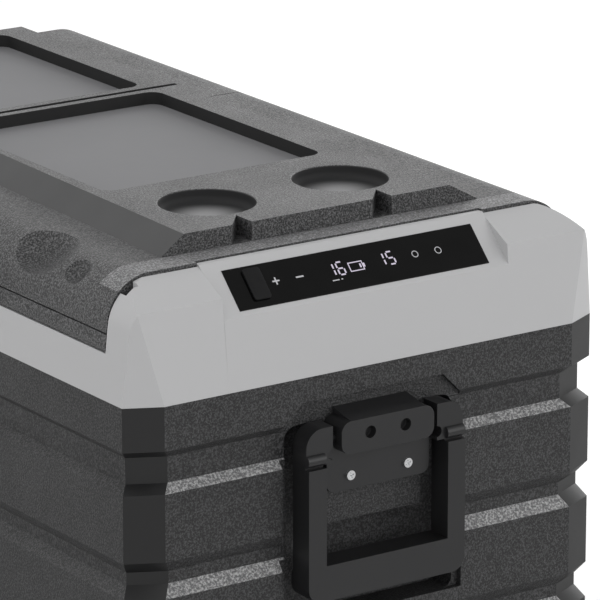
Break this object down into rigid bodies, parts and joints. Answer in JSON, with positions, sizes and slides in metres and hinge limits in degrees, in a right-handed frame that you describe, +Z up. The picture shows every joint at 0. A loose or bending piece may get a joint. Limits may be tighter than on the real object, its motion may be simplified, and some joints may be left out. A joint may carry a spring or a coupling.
{
  "type": "compressor cooler fridge",
  "caption": "Ribbed insulated box with twin side-opening lids, cup and tray recesses, sloped display console, folding end handles and a compressor cooling unit inside.",
  "frame": {"origin": "on the ground under the middle of the box, on the plane of the feet", "axes": "+X across the box towards the hinge side, +Y along the length away from the control console, +Z up"},
  "size_m": [0.4, 0.752, 0.45],
  "materials": {
    "body_plastic": "matte",
    "collar_plastic": "satin",
    "rubber": "matte",
    "blackened_steel": "satin",
    "steel": "satin",
    "black_plastic": "satin",
    "galvanised_sheet": "satin",
    "black_enamel": "gloss",
    "aluminium": "satin",
    "copper": "satin",
    "foam": "matte",
    "liner_plastic": "satin",
    "lid_liner_plastic": "satin",
    "basket_plastic": "satin",
    "lamp_lens": "satin",
    "panel_gloss": "gloss",
    "circuit_board": "satin",
    "flap_rubber": "matte",
    "gasket": "matte",
    "handle_plastic": "satin"
  },
  "bodies": {
    "cabinet": {"body_shell": "body_plastic", "rubber_feet": "rubber", "foot_screws": "steel", "vent_grille_left": "black_plastic", "vent_grille_right": "black_plastic", "compressor_plate": "galvanised_sheet", "compressor": "black_enamel", "compressor_grommets": "rubber", "compressor_bolts": "steel", "condenser": "aluminium", "fan_frame": "black_plastic", "filter_drier": "copper", "refrigerant_pipes": "copper", "power_module": "black_plastic", "machine_bulkhead": "galvanised_sheet", "dc_inlet": "black_plastic", "dc_inlet_pins": "steel", "wiring_loom": "rubber", "insulation_foam": "foam", "liner_front": "liner_plastic", "liner_rear": "liner_plastic", "evaporator_front": "aluminium", "evaporator_rear": "aluminium", "basket_front": "basket_plastic", "basket_rear": "basket_plastic", "lamp_lens": "lamp_lens", "collar": "collar_plastic", "panel_glass": "panel_gloss", "display_module": "black_plastic", "control_board": "circuit_board", "usb_socket": "steel", "hinge_pins": "steel", "latch_keepers": "steel", "handle_bracket_front": "handle_plastic", "handle_bracket_rear": "handle_plastic", "handle_pins": "blackened_steel", "bracket_screws": "steel"},
    "lid_front": {"lid_front_shell": "body_plastic", "lid_front_liner": "lid_liner_plastic", "lid_front_foam": "foam", "lid_front_gasket": "gasket", "lid_front_latch_pin": "steel"},
    "lid_rear": {"lid_rear_shell": "body_plastic", "lid_rear_liner": "lid_liner_plastic", "lid_rear_foam": "foam", "lid_rear_gasket": "gasket", "lid_rear_latch_pin": "steel"},
    "latch_front": {"lid_front_latch": "black_plastic"},
    "latch_rear": {"lid_rear_latch": "black_plastic"},
    "bail_front": {"handle_bail_front": "handle_plastic"},
    "bail_rear": {"handle_bail_rear": "handle_plastic"},
    "usb_cover": {"usb_flap": "flap_rubber"},
    "fan": {"fan_rotor": "black_plastic"}
  },
  "joints": [
    {"name": "lid_front_hinge", "type": "hinge", "parent": "cabinet", "child": "lid_front", "pos_m": [0.1954, -0.12835, 0.3865], "axis": [0, 1, 0], "range_deg": [0, 100]},
    {"name": "lid_rear_hinge", "type": "hinge", "parent": "cabinet", "child": "lid_rear", "pos_m": [0.1954, 0.19075, 0.3865], "axis": [0, 1, 0], "range_deg": [0, 100]},
    {"name": "latch_front_pivot", "type": "hinge", "parent": "lid_front", "child": "latch_front", "pos_m": [-0.1936, -0.12835, 0.414], "axis": [0, 1, 0], "range_deg": [0, 30], "stiffness_Nm_per_rad": 0.06, "springref_deg": -17.19},
    {"name": "latch_rear_pivot", "type": "hinge", "parent": "lid_rear", "child": "latch_rear", "pos_m": [-0.1936, 0.19075, 0.414], "axis": [0, 1, 0], "range_deg": [0, 30], "stiffness_Nm_per_rad": 0.06, "springref_deg": -17.19},
    {"name": "bail_front_pivot", "type": "hinge", "parent": "cabinet", "child": "bail_front", "pos_m": [0, -0.366, 0.308], "axis": [-1, 0, 0], "range_deg": [0, 95]},
    {"name": "bail_rear_pivot", "type": "hinge", "parent": "cabinet", "child": "bail_rear", "pos_m": [0, 0.366, 0.308], "axis": [1, 0, 0], "range_deg": [0, 95]},
    {"name": "usb_cover_hinge", "type": "hinge", "parent": "cabinet", "child": "usb_cover", "pos_m": [-0.0845, -0.32866, 0.42846], "axis": [-1, 0, 0], "range_deg": [0, 110]},
    {"name": "fan_spin", "type": "hinge", "parent": "cabinet", "child": "fan", "pos_m": [-0.148, -0.274, 0.091], "axis": [1, 0, 0], "continuous": true}
  ]
}
